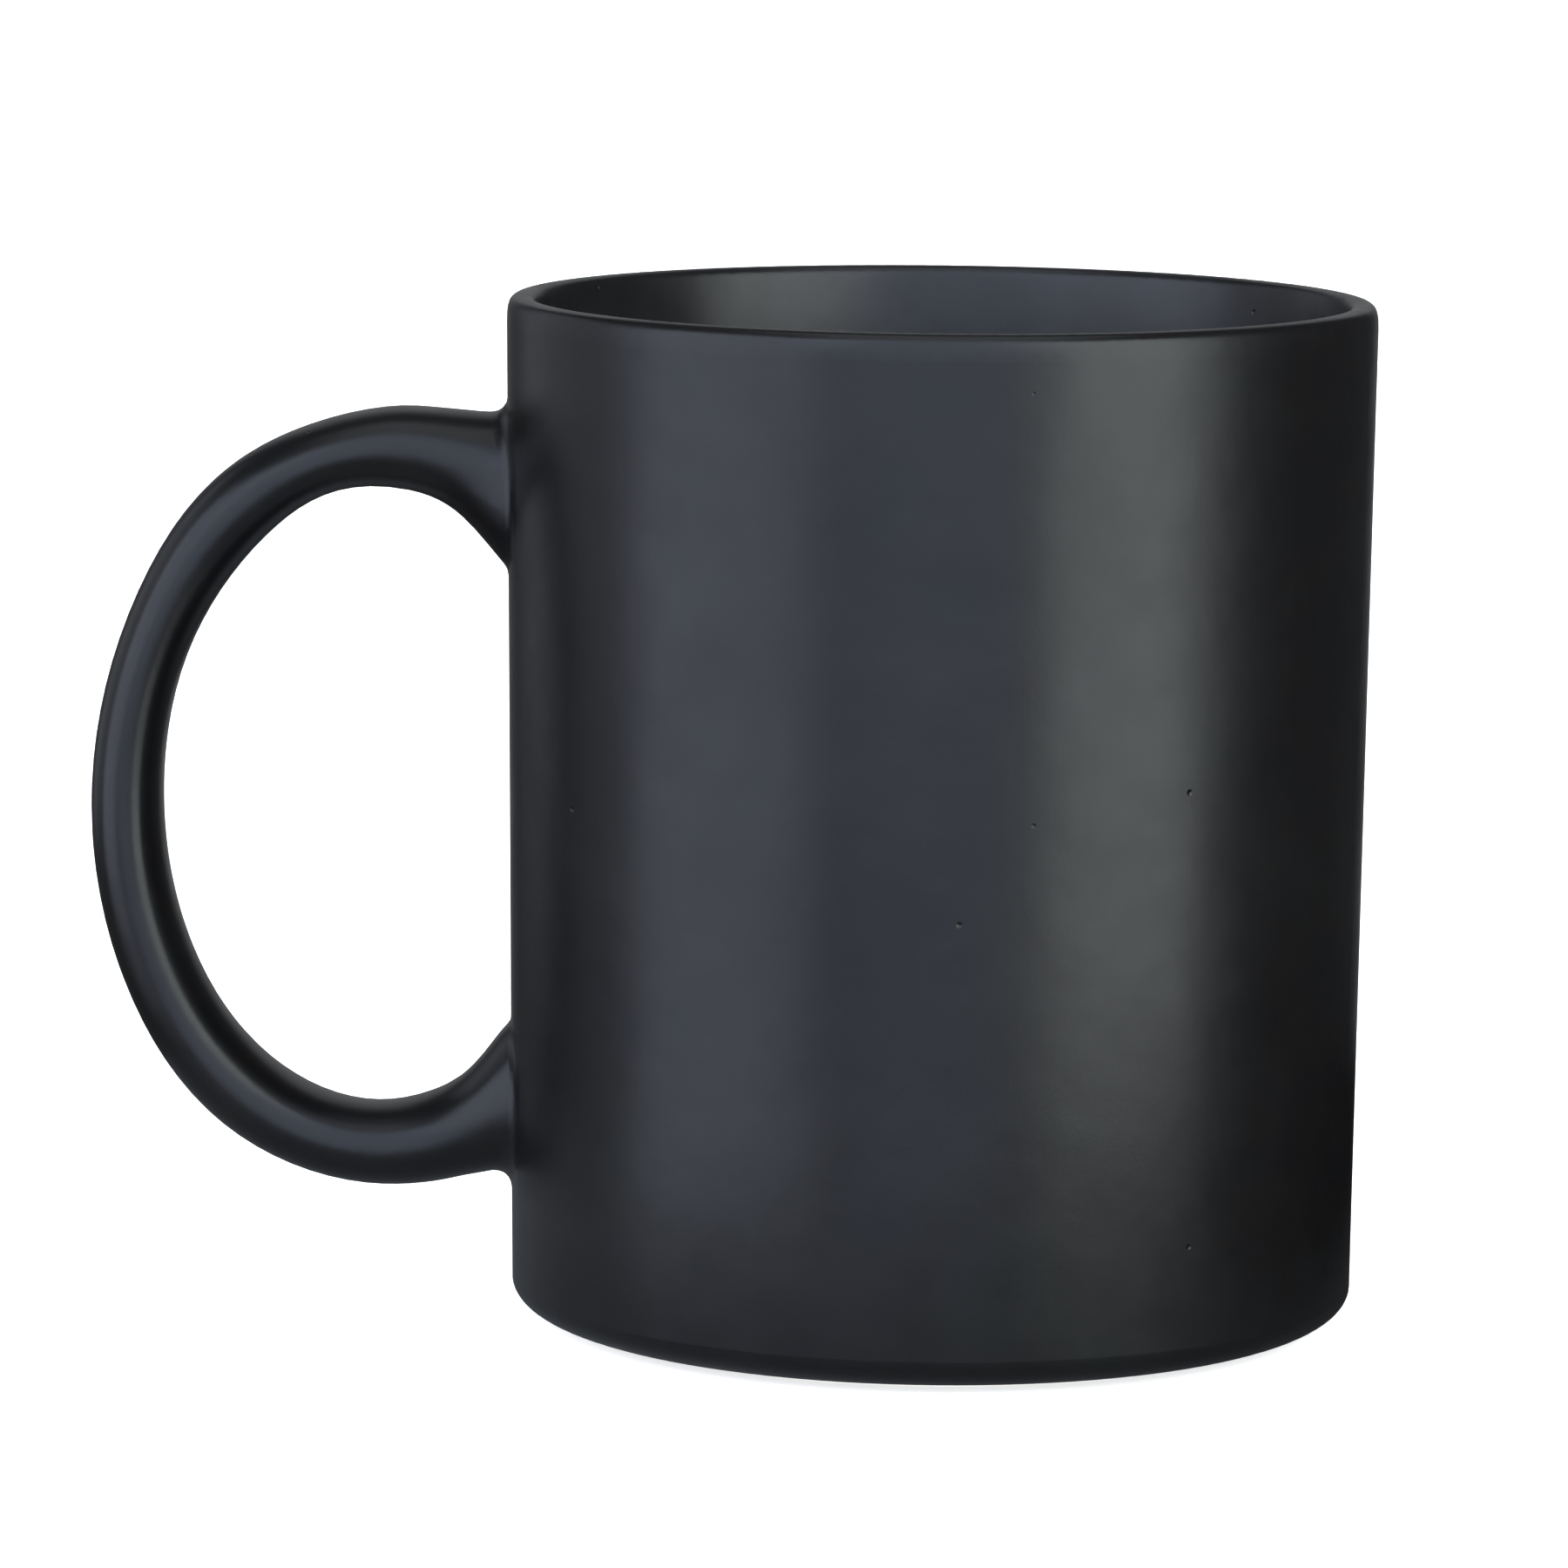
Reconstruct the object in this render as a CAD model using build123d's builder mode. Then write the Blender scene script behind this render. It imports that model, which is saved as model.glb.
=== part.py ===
from build123d import *
import math
import os

# A straight-sided stoneware mug, black glazed inside and out, with a C handle luted to its wall.
# Millimetres. +Z is up, the origin is the centre of the foot ring's resting face, and the handle
# points along -X. Every outline is given on the finished, glazed surface; the fired clay lies
# one coat of glaze below it.

# --- driving dimensions ------------------------------------------------------------------------
MUG_HEIGHT = 97.2
RIM_RADIUS = 41.0
BASE_RADIUS = 40.0  # just above the heel, so the wall has a slight draft
GLAZE = 0.3  # thickness of one coat

# lip: an outer and an inner curve that meet at its crown
LIP_CROWN_RADIUS = 39.6
LIP_OUTER_DROP = 2.4
LIP_INNER_DROP = 1.6
LIP_FULLNESS = 0.8  # 0.552 makes a quarter ellipse, and 1 a square corner

# heel, foot ring and the recess inside it
HEEL_WIDTH = 5.0
HEEL_HEIGHT = 3.0
HEEL_FULLNESS = 0.552
FOOT_STEP = 0.45  # how far the glazed heel stays above the resting face
FOOT_OUTER_RADIUS = 34.2
FOOT_INNER_RADIUS = 31.7
FOOT_BEVEL = 0.2
RECESS_DEPTH = 2.6
RECESS_DRAFT = 0.9
RECESS_CORNER = 1.2
RECESS_GLAZE_EDGE = 0.6  # height at which the recess glaze ends on the foot ring's inner side

# inside: the wall thickens in a gentle curve below the lip, then runs almost straight to the floor
MOUTH_RADIUS = 38.2
THROAT_RADIUS = 36.9  # where the lines of the thin lip and of the straight wall would cross
THROAT_HEIGHT = 88.0
FLOOR_WALL_RADIUS = 35.4  # inner wall extended down to the floor
FLOOR_HEIGHT = 8.3
FLOOR_CORNER = 9.0

# handle: a loop between two ellipses on one centre, in the XZ plane
LOOP_X = -52.5
LOOP_Z = 49.2
LOOP_OUTER_TILT = 2.2  # degrees by which each ellipse leans, its lower end away from the cup
LOOP_INNER_TILT = 0.8
LOOP_OUTER_X = 27.75
LOOP_OUTER_Z = 37.2
LOOP_INNER_X = 21.0
LOOP_INNER_Z = 29.55
LOOP_STEP = 30  # degrees between sections
HANDLE_HALF_WIDTH = 6.3
SECTION_FULLNESS = 0.66  # 0.552 makes each section an ellipse, and 1 a rectangle

# where the handle runs into the wall: x, outer z, inner z and half width of each section
UPPER_ROOT = [
    (-36.5, 86.05, 67.15, 9.0),
    (-40.6, 85.9, 71.05, 7.9),
    (-42.6, 85.9, 73.35, 7.2),
    (-45.0, 86.05, 75.95, 6.7),
    (-48.2, 86.3, 77.95, 6.4),
]
LOWER_ROOT = [
    (-48.2, 12.15, 20.55, 6.4),
    (-45.0, 12.75, 22.25, 6.7),
    (-42.6, 13.25, 24.85, 7.2),
    (-40.6, 13.55, 27.35, 7.9),
    (-36.5, 13.85, 31.15, 9.0),
]

# joints
SLIP_THICKNESS = 1.2  # layer of slip between the handle's ends and the wall
ROOT_FILLET = 1.6  # radius of the glazed corner round each handle root


def outer_outline(coat):
    """Half profile inside the outer surface, from lip crown to foot, `coat` below the glaze."""
    crown = MUG_HEIGHT - coat
    lip_base = MUG_HEIGHT - LIP_OUTER_DROP
    lip_side = RIM_RADIUS - coat
    heel_top = FOOT_STEP + HEEL_HEIGHT
    heel_bottom = FOOT_STEP + coat
    heel_side = BASE_RADIUS - coat
    heel_centre = BASE_RADIUS - HEEL_WIDTH
    lean = (RIM_RADIUS - BASE_RADIUS) / (lip_base - heel_top)
    lip_rise = LIP_FULLNESS * (crown - lip_base)
    heel_fall = HEEL_FULLNESS * (heel_top - heel_bottom)
    foot = FOOT_OUTER_RADIUS - coat
    with BuildSketch(Plane.XZ) as sketch:
        with BuildLine():
            Bezier(
                (LIP_CROWN_RADIUS, crown),
                (LIP_CROWN_RADIUS + LIP_FULLNESS * (lip_side - LIP_CROWN_RADIUS), crown),
                (lip_side + lean * lip_rise, lip_base + lip_rise),
                (lip_side, lip_base),
            )
            Line((lip_side, lip_base), (heel_side, heel_top))
            Bezier(
                (heel_side, heel_top),
                (heel_side - lean * heel_fall, heel_top - heel_fall),
                (heel_centre + HEEL_FULLNESS * (heel_side - heel_centre), heel_bottom),
                (heel_centre, heel_bottom),
            )
            Polyline(
                (heel_centre, heel_bottom),
                (foot, heel_bottom),
                (foot, FOOT_BEVEL),
                (0, FOOT_BEVEL),
                (0, crown),
                (LIP_CROWN_RADIUS, crown),
            )
        make_face()
    return sketch.sketch


def cavity_outline(coat):
    """Half profile of the space for the drink and its mouth, widened by `coat` all over."""
    crown = MUG_HEIGHT - coat
    lip_base = MUG_HEIGHT - LIP_INNER_DROP
    mouth = MOUTH_RADIUS + coat
    throat = THROAT_RADIUS + coat
    floor_edge = FLOOR_WALL_RADIUS + coat
    floor = FLOOR_HEIGHT - coat
    lip_lean = (mouth - throat) / (lip_base - THROAT_HEIGHT)
    wall_lean = (throat - floor_edge) / (THROAT_HEIGHT - floor)
    lip_rise = LIP_FULLNESS * (crown - lip_base)
    curve_fall = lip_base - THROAT_HEIGHT
    wall_top = (throat - wall_lean * curve_fall, THROAT_HEIGHT - curve_fall)
    above_rim = MUG_HEIGHT + GLAZE
    with BuildSketch(Plane.XZ) as sketch:
        with BuildLine():
            Bezier(
                (LIP_CROWN_RADIUS, crown),
                (LIP_CROWN_RADIUS - LIP_FULLNESS * (LIP_CROWN_RADIUS - mouth), crown),
                (mouth + lip_lean * lip_rise, lip_base + lip_rise),
                (mouth, lip_base),
            )
            Bezier((mouth, lip_base), (throat, THROAT_HEIGHT), wall_top)
            FilletPolyline(
                wall_top,
                (floor_edge, floor),
                (0, floor),
                radius=FLOOR_CORNER + coat,
            )
            Polyline(
                (0, floor),
                (0, above_rim),
                (LIP_CROWN_RADIUS, above_rim),
                (LIP_CROWN_RADIUS, crown),
            )
        make_face()
    return sketch.sketch


def recess_outline(coat):
    """Half profile of the hollow inside the foot ring, widened by `coat` all over."""
    roof = RECESS_DEPTH + coat
    side = FOOT_INNER_RADIUS - GLAZE + coat
    with BuildSketch(Plane.XZ) as sketch:
        with BuildLine():
            FilletPolyline(
                (side, 0),
                (side - RECESS_DRAFT, roof),
                (0, roof),
                radius=RECESS_CORNER + coat,
            )
            Polyline((0, roof), (0, 0), (side, 0))
        make_face()
    return sketch.sketch


def handle_sections():
    """(outer point, inner point, half width) of each section, from the upper root to the lower."""
    sections = []
    for x, outer_z, inner_z, half_width in UPPER_ROOT:
        sections.append((Vector(x, 0, outer_z), Vector(x, 0, inner_z), half_width))
    centre = Vector(LOOP_X, 0, LOOP_Z)
    for step in range(round(180 / LOOP_STEP) + 1):
        turn = math.radians(90 + step * LOOP_STEP)
        outer = Vector(LOOP_OUTER_X * math.cos(turn), 0, LOOP_OUTER_Z * math.sin(turn))
        inner = Vector(LOOP_INNER_X * math.cos(turn), 0, LOOP_INNER_Z * math.sin(turn))
        outer = centre + outer.rotate(Axis.Y, LOOP_OUTER_TILT)
        inner = centre + inner.rotate(Axis.Y, LOOP_INNER_TILT)
        sections.append((outer, inner, HANDLE_HALF_WIDTH))
    for x, outer_z, inner_z, half_width in LOWER_ROOT:
        sections.append((Vector(x, 0, outer_z), Vector(x, 0, inner_z), half_width))
    return sections


def handle_form(coat):
    """The whole handle with both ends run on into the wall, `coat` below the glaze."""
    with BuildPart() as form:
        for outer, inner, half_width in handle_sections():
            outward = (outer - inner).normalized()
            along = Vector(0, 1, 0).cross(outward)
            a = (outer - inner).length / 2 - coat
            b = half_width - coat
            full_a = a * SECTION_FULLNESS
            full_b = b * SECTION_FULLNESS
            with BuildSketch(Plane((outer + inner) / 2, x_dir=outward, z_dir=along)):
                with BuildLine():
                    Bezier((a, 0), (a, full_b), (full_a, b), (0, b))
                    Bezier((0, b), (-full_a, b), (-a, full_b), (-a, 0))
                    Bezier((-a, 0), (-a, -full_b), (-full_a, -b), (0, -b))
                    Bezier((0, -b), (full_a, -b), (a, -full_b), (a, 0))
                make_face()
        loft()
    return form.part


def outer_body(coat):
    """Cup and handle as one filled body, `coat` below the glaze, with its roots rounded."""
    with BuildPart() as body:
        add(outer_outline(coat))
        revolve(axis=Axis.Z)
        add(handle_form(coat))
        root_edges = body.edges(Select.NEW)
        fillet(root_edges, ROOT_FILLET + coat)
    return body.part


def export(part, name):
    """Labels a finished piece and writes it as its own STEP file."""
    part.label = name
    export_step(part, f"parts/{name}.step")


os.makedirs("parts", exist_ok=True)

# --- shared forms ------------------------------------------------------------------------------
glazed_form = outer_body(0)
clay_form = outer_body(GLAZE)

with BuildPart() as clay_cup_form:
    add(outer_outline(GLAZE))
    revolve(axis=Axis.Z)

with BuildPart() as slip_limit:
    reach = SLIP_THICKNESS - GLAZE
    with Locations((0, 0, MUG_HEIGHT / 2)):
        Cone(BASE_RADIUS + reach, RIM_RADIUS + reach, MUG_HEIGHT)

# --- cup body: wall, lip, floor and bare foot ring, one piece of fired clay ----------------------
with BuildPart() as cup_body:
    with BuildSketch(Plane.XZ):
        add(outer_outline(GLAZE))
        with BuildLine():
            Polyline(
                (0, 0),
                (FOOT_OUTER_RADIUS - GLAZE - FOOT_BEVEL, 0),
                (FOOT_OUTER_RADIUS - GLAZE, FOOT_BEVEL),
                (0, FOOT_BEVEL),
                close=True,
            )
        make_face()
        add(cavity_outline(GLAZE), mode=Mode.SUBTRACT)
        add(recess_outline(GLAZE), mode=Mode.SUBTRACT)
    revolve(axis=Axis.Z)

# --- handle: a pressed loop whose flared ends follow the wall ------------------------------------
with BuildPart() as handle:
    add(clay_form)
    add(slip_limit.part, mode=Mode.SUBTRACT)

# --- slip joints: the layer of slip and its bead between each handle end and the wall ------------
with BuildPart() as slip_joints:
    add(clay_form)
    add(slip_limit.part, mode=Mode.INTERSECT)
    add(clay_cup_form.part, mode=Mode.SUBTRACT)

lower_joint_solid, upper_joint_solid = slip_joints.solids().sort_by(Axis.Z)

with BuildPart() as lower_slip_joint:
    add(lower_joint_solid)

with BuildPart() as upper_slip_joint:
    add(upper_joint_solid)

# --- glaze coats -------------------------------------------------------------------------------
with BuildPart() as exterior_glaze:
    add(glazed_form)
    add(clay_form, mode=Mode.SUBTRACT)
    with BuildSketch(Plane.XY.offset(MUG_HEIGHT)):
        Circle(LIP_CROWN_RADIUS)
    extrude(amount=-2 * GLAZE, mode=Mode.SUBTRACT)

with BuildPart() as interior_glaze:
    with BuildSketch(Plane.XZ):
        add(cavity_outline(GLAZE))
        add(cavity_outline(0), mode=Mode.SUBTRACT)
    revolve(axis=Axis.Z)

with BuildPart() as recess_glaze:
    with BuildSketch(Plane.XZ):
        add(recess_outline(GLAZE))
        add(recess_outline(0), mode=Mode.SUBTRACT)
        with Locations((0, RECESS_GLAZE_EDGE / 2)):
            Rectangle(2 * FOOT_OUTER_RADIUS, RECESS_GLAZE_EDGE, mode=Mode.SUBTRACT)
    revolve(axis=Axis.Z)

export(cup_body.part, "cup_body")
export(handle.part, "handle")
export(upper_slip_joint.part, "upper_slip_joint")
export(lower_slip_joint.part, "lower_slip_joint")
export(exterior_glaze.part, "exterior_glaze")
export(interior_glaze.part, "interior_glaze")
export(recess_glaze.part, "foot_recess_glaze")
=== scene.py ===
import bpy
import math
from mathutils import Matrix, Vector


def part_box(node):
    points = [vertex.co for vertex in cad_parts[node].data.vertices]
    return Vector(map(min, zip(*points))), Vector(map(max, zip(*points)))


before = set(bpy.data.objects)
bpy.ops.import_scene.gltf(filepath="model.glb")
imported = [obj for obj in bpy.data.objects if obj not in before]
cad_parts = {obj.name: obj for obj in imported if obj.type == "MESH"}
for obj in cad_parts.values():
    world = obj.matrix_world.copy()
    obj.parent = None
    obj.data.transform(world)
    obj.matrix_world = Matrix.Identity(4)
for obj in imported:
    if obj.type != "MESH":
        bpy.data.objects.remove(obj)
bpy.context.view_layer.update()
MM = 0.001
ROUND_STEPS = 96  # corners of a round stage piece

# --- places, from the frame ----------------------------------------------------------------------
cup_low, cup_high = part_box("cup_body")
floor_z = cup_low.z
mug_centre = Vector((0, 0, (cup_low.z + cup_high.z) / 2))


# --- shared helpers ------------------------------------------------------------------------------
def add_object(name, data):
    made = bpy.data.objects.new(name, data)
    bpy.context.scene.collection.objects.link(made)
    return made


def circle(radius, height, shift=0.0):
    """The corners of a level circle whose middle lies shift to the right of the mug's axis."""
    turns = [2 * math.pi * k / ROUND_STEPS for k in range(ROUND_STEPS)]
    return [(shift + radius * math.cos(t), radius * math.sin(t), height) for t in turns]


def new_material(name):
    material = bpy.data.materials.new(name)
    material.use_nodes = True
    tree = material.node_tree
    return material, tree, tree.nodes["Principled BSDF"]


def matt_material(name, colour, glow_colour):
    """No shine at all. How strongly it glows is left to the caller."""
    material, tree, shader = new_material(name)
    shader.inputs["Base Color"].default_value = (*colour, 1)
    shader.inputs["Roughness"].default_value = 1.0
    shader.inputs["Specular IOR Level"].default_value = 0.0
    shader.inputs["Emission Color"].default_value = (*glow_colour, 1)
    return material, tree, shader


# --- shader nodes --------------------------------------------------------------------------------
NOISE_LOW = 0.3  # a noise texture stays mostly between these two
NOISE_HIGH = 0.7


def noise(tree, place, size, detail=3.0, rough=0.5):
    """A noise texture with blotches of about the given size."""
    made = tree.nodes.new("ShaderNodeTexNoise")
    made.inputs["Scale"].default_value = 1 / size
    made.inputs["Detail"].default_value = detail
    made.inputs["Roughness"].default_value = rough
    tree.links.new(place, made.inputs["Vector"])
    return made.outputs["Fac"]


def ramp(tree, factor, tones):
    """The tones, evenly spread over the range of a noise texture."""
    made = tree.nodes.new("ShaderNodeValToRGB")
    gap = (NOISE_HIGH - NOISE_LOW) / (len(tones) - 1)
    elements = made.color_ramp.elements
    elements[0].position = NOISE_LOW
    elements[0].color = (*tones[0], 1)
    elements[1].position = NOISE_HIGH
    elements[1].color = (*tones[-1], 1)
    for k in range(1, len(tones) - 1):
        elements.new(NOISE_LOW + gap * k).color = (*tones[k], 1)
    tree.links.new(factor, made.inputs["Fac"])
    return made.outputs["Color"]


def span(tree, factor, low, high, from_low=NOISE_LOW, from_high=NOISE_HIGH):
    """The factor, stretched from its own range to the range from low to high."""
    made = tree.nodes.new("ShaderNodeMapRange")
    made.inputs["From Min"].default_value = from_low
    made.inputs["From Max"].default_value = from_high
    made.inputs["To Min"].default_value = low
    made.inputs["To Max"].default_value = high
    tree.links.new(factor, made.inputs["Value"])
    return made.outputs["Result"]


def bump(tree, height, distance, under=None):
    """A surface normal shaped by height, laid over the one given as under."""
    made = tree.nodes.new("ShaderNodeBump")
    made.inputs["Distance"].default_value = distance
    made.inputs["Strength"].default_value = 1.0
    tree.links.new(height, made.inputs["Height"])
    if under is not None:
        tree.links.new(under, made.inputs["Normal"])
    return made.outputs["Normal"]


# --- camera --------------------------------------------------------------------------------------
CAMERA_ELEVATION = math.radians(8.223)
CAMERA_DISTANCE = 0.78686
CAMERA_LENS = 190.2  # in mm, like the sensor
CAMERA_SENSOR = 36
CAMERA_CLIP_START = 0.01
CAMERA_CLIP_END = 20
CAMERA_AIM_HEIGHT = 0.04795
CAMERA_YAW = math.radians(1.055)  # the cup stands right of the middle, the handle left of it
CAMERA_PITCH = math.radians(0.204)
CAMERA_ROLL = math.radians(-0.725)


def make_camera():
    """A long lens a little above the rim, turned so that the whole handle is in the frame."""
    ahead = Vector((0, math.cos(CAMERA_ELEVATION), -math.sin(CAMERA_ELEVATION)))
    right = Vector((1, 0, 0))
    up = right.cross(ahead)
    place = Vector((0, 0, floor_z + CAMERA_AIM_HEIGHT)) - ahead * CAMERA_DISTANCE
    yaw = Matrix.Rotation(CAMERA_YAW, 3, up)
    ahead, right = yaw @ ahead, yaw @ right
    pitch = Matrix.Rotation(CAMERA_PITCH, 3, right)
    ahead, up = pitch @ ahead, pitch @ up
    roll = Matrix.Rotation(CAMERA_ROLL, 3, ahead)
    right, up = roll @ right, roll @ up
    data = bpy.data.cameras.new("camera")
    data.lens = CAMERA_LENS
    data.sensor_width = CAMERA_SENSOR
    data.clip_start = CAMERA_CLIP_START
    data.clip_end = CAMERA_CLIP_END
    camera = add_object("camera", data)
    pose = Matrix((right, up, -ahead)).transposed().to_4x4()
    pose.translation = place
    camera.matrix_world = pose
    bpy.context.scene.camera = camera


# --- light ---------------------------------------------------------------------------------------
WORLD_COLOUR = (0.9, 0.95, 1.0)
WORLD_STRENGTH = 0.05

# name, azimuth (0 is the camera's side, positive to its right), elevation, distance, width,
# height, watts, colour
SOFTBOXES = [
    ("key_right", 50, 12, 1.3, 1.1, 1.5, 15.2, (0.92, 0.99, 1.0)),
    ("fill_left", -58, 12, 1.3, 1.4, 1.5, 13.2, (0.73, 0.81, 1.0)),
    ("front", -2, 22, 1.6, 1.55, 2.2, 17.6, (0.68, 0.78, 1.0)),
    ("overhead", 0, 84, 1.3, 1.1, 1.1, 3.0, (0.92, 0.96, 1.0)),
    ("rear_left", -110, 12, 1.5, 2.0, 1.2, 3.0, (0.82, 0.88, 1.0)),
    ("rear", 180, 12, 1.6, 1.1, 1.5, 1.8, (0.95, 0.98, 1.0)),
]


def make_world():
    world = bpy.data.worlds.new("studio")
    world.use_nodes = True
    background = world.node_tree.nodes["Background"]
    background.inputs["Color"].default_value = (*WORLD_COLOUR, 1)
    background.inputs["Strength"].default_value = WORLD_STRENGTH
    bpy.context.scene.world = world


def make_softbox(name, azimuth, elevation, distance, width, height, watts, colour):
    """A rectangular soft light that faces the middle of the mug."""
    a = math.radians(azimuth)
    e = math.radians(elevation)
    toward = Vector((math.sin(a) * math.cos(e), -math.cos(a) * math.cos(e), math.sin(e)))
    data = bpy.data.lights.new(name, "AREA")
    data.shape = "RECTANGLE"
    data.size = width
    data.size_y = height
    data.energy = watts
    data.color = colour
    light = add_object(name, data)
    light.location = mug_centre + toward * distance
    light.rotation_euler = toward.to_track_quat("Z", "Y").to_euler()
    light.visible_camera = False


# --- paper floor ---------------------------------------------------------------------------------
FLOOR_RADIUS = 6.0
FLOOR_RINGS = (0.5, 1.5)  # rings on the level part, between its middle and the cove
COVE_RADIUS = 3.0
COVE_STEPS = 12
WALL_TOP = 7.0
FLOOR_GAP = 0.05 * MM  # keeps the paper's face off the foot ring's
PAPER_COLOUR = (0.86, 0.86, 0.86)
PAPER_GLOW_COLOUR = (1, 1, 1)
PAPER_GLOW = 0.7


def make_stage():
    """A pale round floor that curves up into a wall all round, so no horizon shows."""
    level_radius = FLOOR_RADIUS - COVE_RADIUS
    profile = [(radius, 0.0) for radius in (*FLOOR_RINGS, level_radius)]
    for step in range(1, COVE_STEPS + 1):
        turn = math.radians(90 * step / COVE_STEPS)
        profile.append((level_radius + COVE_RADIUS * math.sin(turn),
                        COVE_RADIUS * (1 - math.cos(turn))))
    profile.append((FLOOR_RADIUS, WALL_TOP))
    paper_z = floor_z - FLOOR_GAP
    verts = [(0.0, 0.0, paper_z)]
    for radius, height in profile:
        verts += circle(radius, paper_z + height)
    faces = [(0, 1 + k, 1 + (k + 1) % ROUND_STEPS) for k in range(ROUND_STEPS)]
    for ring in range(len(profile) - 1):
        a = 1 + ring * ROUND_STEPS
        b = a + ROUND_STEPS
        for k in range(ROUND_STEPS):
            n = (k + 1) % ROUND_STEPS
            faces.append((a + k, b + k, b + n, a + n))
    mesh = bpy.data.meshes.new("studio_floor")
    mesh.from_pydata(verts, [], faces)
    mesh.shade_smooth()
    floor = add_object("studio_floor", mesh)
    material, _, shader = matt_material("studio_paper", PAPER_COLOUR, PAPER_GLOW_COLOUR)
    shader.inputs["Emission Strength"].default_value = PAPER_GLOW
    mesh.materials.append(material)
    floor.visible_glossy = False


# --- painted shade card, seen only in reflections ------------------------------------------------
CARD_RADIUS = 0.15
CARD_SHIFT = 0.045  # to the right, since the wall fades most on that side
CARD_DROP = 0.2 * MM  # how far it lies below the foot ring
# painted shade: the card's near-black colour stands for shade on the floor round the foot, seen only
# in reflections
CARD_COLOUR = (0.005, 0.005, 0.005)
CARD_GLOW_COLOUR = (0.8, 0.88, 1.0)
CARD_GLOW = 0.2
CARD_GLOW_EDGES = (-0.02, 0.07)  # painted glow, seen only in reflections: from full glow on the left to none on the right


def make_shade_card():
    """A dark card under the mug, seen only by reflections: painted shade that darkens the wall
    towards the foot, with a painted glow on its left.
    """
    mesh = bpy.data.meshes.new("shade_card")
    verts = circle(CARD_RADIUS, floor_z - CARD_DROP, CARD_SHIFT)
    mesh.from_pydata(verts, [], [tuple(range(ROUND_STEPS))])
    card = add_object("shade_card", mesh)
    # painted shade and painted glow, which reach the render only through the glaze's reflections
    material, tree, shader = matt_material("painted_shade_card", CARD_COLOUR, CARD_GLOW_COLOUR)
    place = tree.nodes.new("ShaderNodeTexCoord").outputs["Object"]
    axes = tree.nodes.new("ShaderNodeSeparateXYZ")
    tree.links.new(place, axes.inputs["Vector"])
    glow = span(tree, axes.outputs["X"], CARD_GLOW, 0.0, *CARD_GLOW_EDGES)
    tree.links.new(glow, shader.inputs["Emission Strength"])
    mesh.materials.append(material)
    card.visible_camera = False
    card.visible_diffuse = False
    card.visible_shadow = False


# --- glaze ---------------------------------------------------------------------------------------
BLUE_BLACK = (0.0022, 0.0024, 0.0032)
BROWN_BLACK = (0.0034, 0.003, 0.0032)
GREEN_BLACK = (0.0036, 0.0042, 0.004)
GREY_BLACK = (0.009, 0.0095, 0.011)
SATIN_ROUGHNESS = (0.3, 0.38)
INNER_ROUGHNESS = (0.3, 0.4)
MOTTLE_SIZE = 14 * MM
PATCH_SIZE = 9 * MM
RIPPLE_SIZE = 7 * MM
RIPPLE_DEPTH = 0.06 * MM
CRYSTAL_SIZE = 0.35 * MM
CRYSTAL_DEPTH = 0.006 * MM
PIT_SPACING = 7 * MM
PIT_RADIUS = 0.32 * MM
PIT_DEPTH = 0.12 * MM
PIT_SHARE = 0.5  # of the cells that the surface is divided into, those that may hold a pit


def pinholes(tree, place):
    """1 in the middle of a few scattered pits and 0 on the sound glaze around them."""
    cells = tree.nodes.new("ShaderNodeTexVoronoi")
    cells.inputs["Scale"].default_value = 1 / PIT_SPACING
    tree.links.new(place, cells.inputs["Vector"])
    pit = span(tree, cells.outputs["Distance"], 1.0, 0.0, 0.0, PIT_RADIUS / PIT_SPACING)
    lottery = tree.nodes.new("ShaderNodeSeparateColor")
    tree.links.new(cells.outputs["Color"], lottery.inputs["Color"])
    chosen = tree.nodes.new("ShaderNodeMath")
    chosen.operation = "LESS_THAN"
    chosen.inputs[1].default_value = PIT_SHARE
    tree.links.new(lottery.outputs["Red"], chosen.inputs[0])
    both = tree.nodes.new("ShaderNodeMath")
    both.operation = "MULTIPLY"
    tree.links.new(pit, both.inputs[0])
    tree.links.new(chosen.outputs["Value"], both.inputs[1])
    return both.outputs["Value"]


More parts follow.
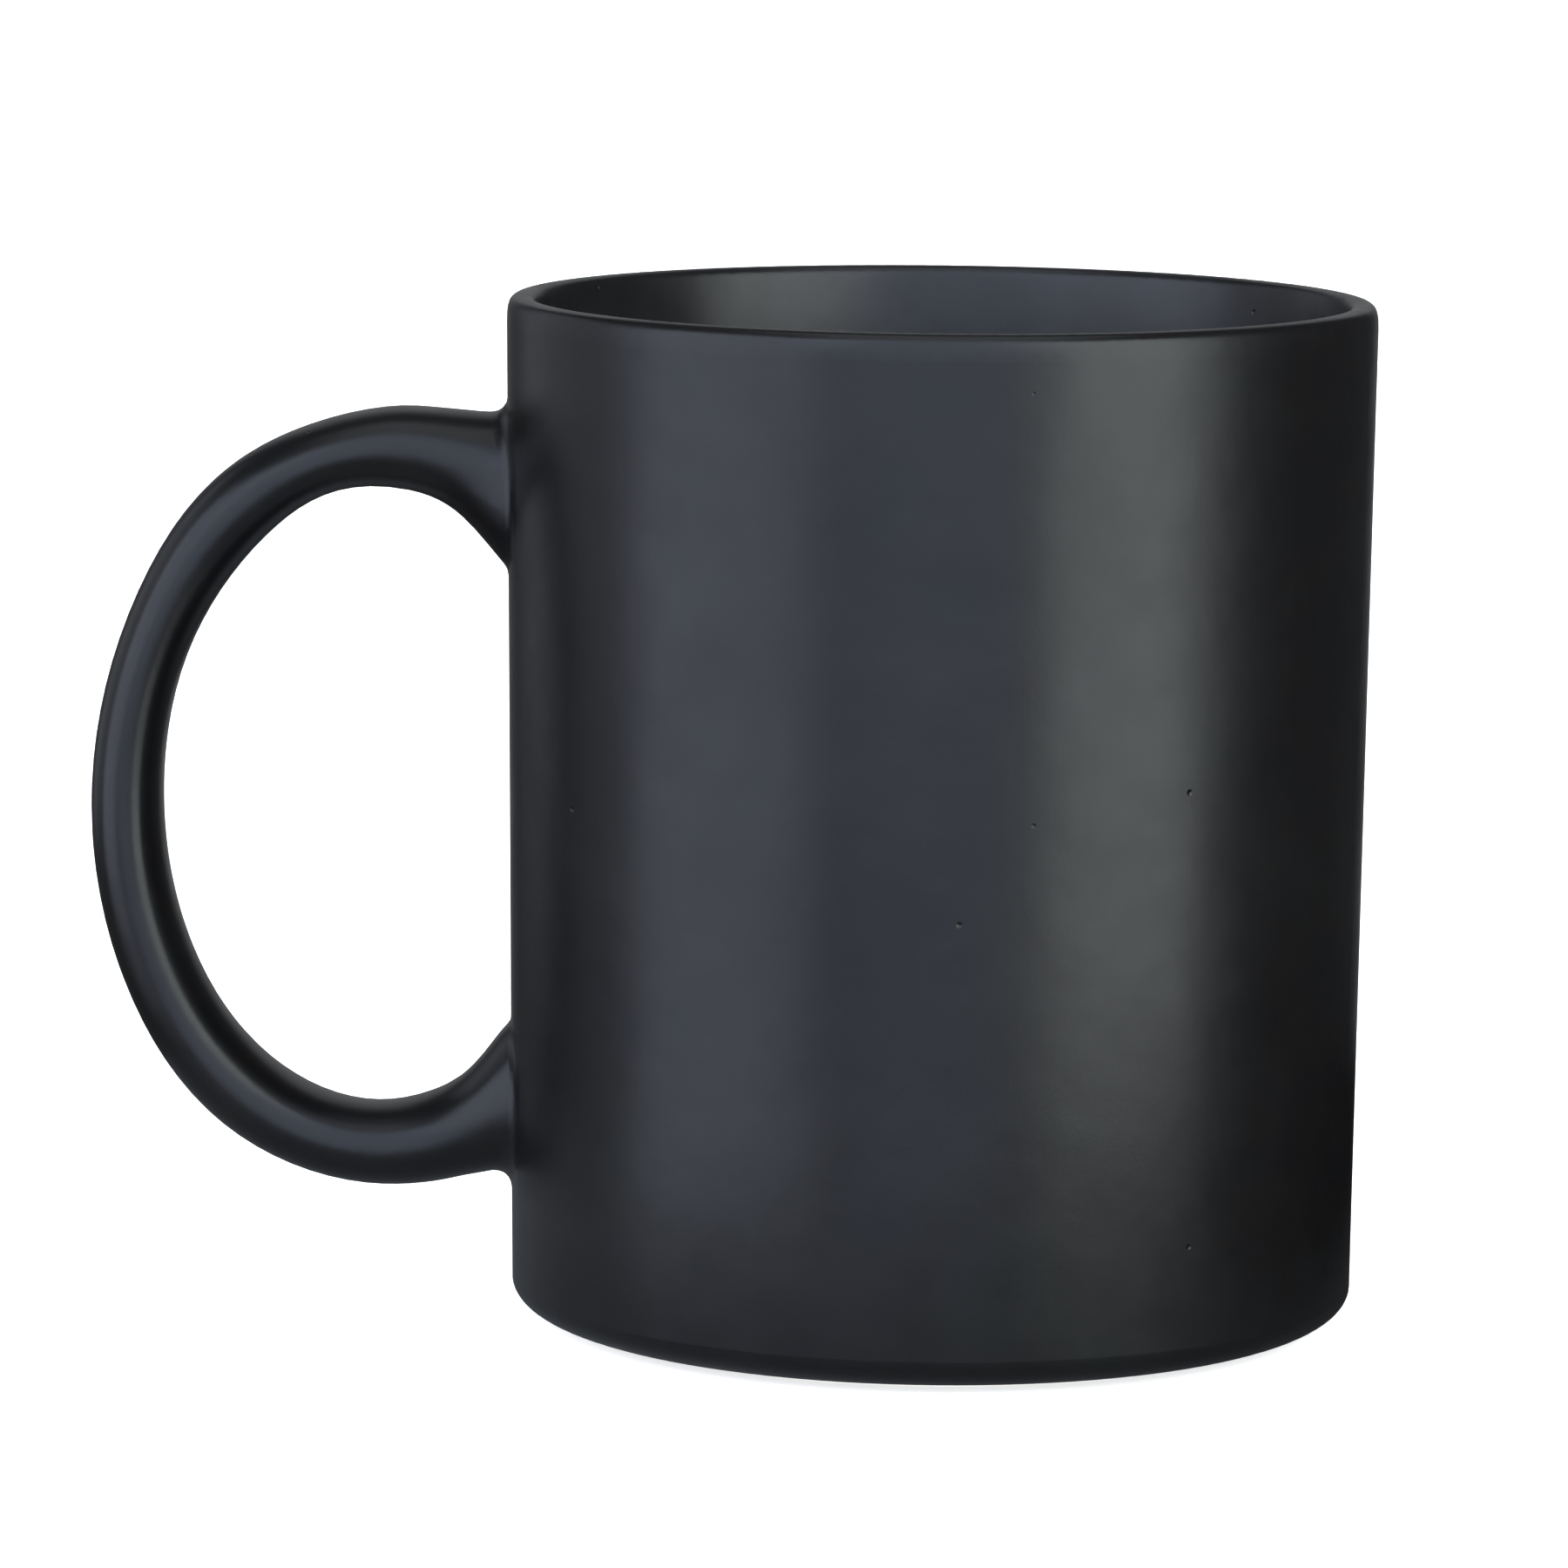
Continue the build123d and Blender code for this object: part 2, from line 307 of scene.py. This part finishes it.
def glaze_material(name, tones, roughness):
    """Black glaze: a faint mottle, uneven gloss, a soft ripple, fine crystals and a few pinholes."""
    material, tree, shader = new_material(name)
    place = tree.nodes.new("ShaderNodeTexCoord").outputs["Object"]
    mottle = noise(tree, place, MOTTLE_SIZE, 5.0, 0.55)
    tree.links.new(ramp(tree, mottle, tones), shader.inputs["Base Color"])
    patches = noise(tree, place, PATCH_SIZE, 5.0, 0.65)
    tree.links.new(span(tree, patches, *roughness), shader.inputs["Roughness"])
    ripple = bump(tree, noise(tree, place, RIPPLE_SIZE, 2.0), RIPPLE_DEPTH)
    crystals = bump(tree, noise(tree, place, CRYSTAL_SIZE), CRYSTAL_DEPTH, ripple)
    pitted = bump(tree, pinholes(tree, place), -PIT_DEPTH, crystals)
    tree.links.new(pitted, shader.inputs["Normal"])
    return material


# --- bare clay -----------------------------------------------------------------------------------
DARK_CLAY = (0.42, 0.38, 0.33)
LIGHT_CLAY = (0.56, 0.52, 0.46)
CLAY_ROUGHNESS = 0.85
SPECK_SIZE = 3 * MM
SAND_SIZE = 0.3 * MM
SAND_DEPTH = 0.03 * MM


def clay_material(name):
    """Fired clay with no glaze: dry, with fine grog specks and a sandy surface."""
    material, tree, shader = new_material(name)
    place = tree.nodes.new("ShaderNodeTexCoord").outputs["Object"]
    specks = noise(tree, place, SPECK_SIZE, 6.0, 0.65)
    tree.links.new(ramp(tree, specks, [DARK_CLAY, LIGHT_CLAY]), shader.inputs["Base Color"])
    shader.inputs["Roughness"].default_value = CLAY_ROUGHNESS
    sand = bump(tree, noise(tree, place, SAND_SIZE), SAND_DEPTH)
    tree.links.new(sand, shader.inputs["Normal"])
    return material


def assign(node_names, material):
    for name in node_names:
        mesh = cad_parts[name].data
        mesh.materials.clear()
        mesh.materials.append(material)


# --- the scene -----------------------------------------------------------------------------------
make_camera()
make_world()
make_stage()
make_shade_card()
for softbox in SOFTBOXES:
    make_softbox(*softbox)
bpy.context.scene.view_settings.view_transform = "Standard"

satin = glaze_material("satin_black_glaze", [BLUE_BLACK, BROWN_BLACK, GREEN_BLACK], SATIN_ROUGHNESS)
inner = glaze_material("inner_black_glaze", [BROWN_BLACK, GREY_BLACK], INNER_ROUGHNESS)
clay = clay_material("fired_stoneware")
assign(["exterior_glaze", "foot_recess_glaze"], satin)
assign(["interior_glaze"], inner)
assign(["cup_body", "handle", "upper_slip_joint", "lower_slip_joint"], clay)
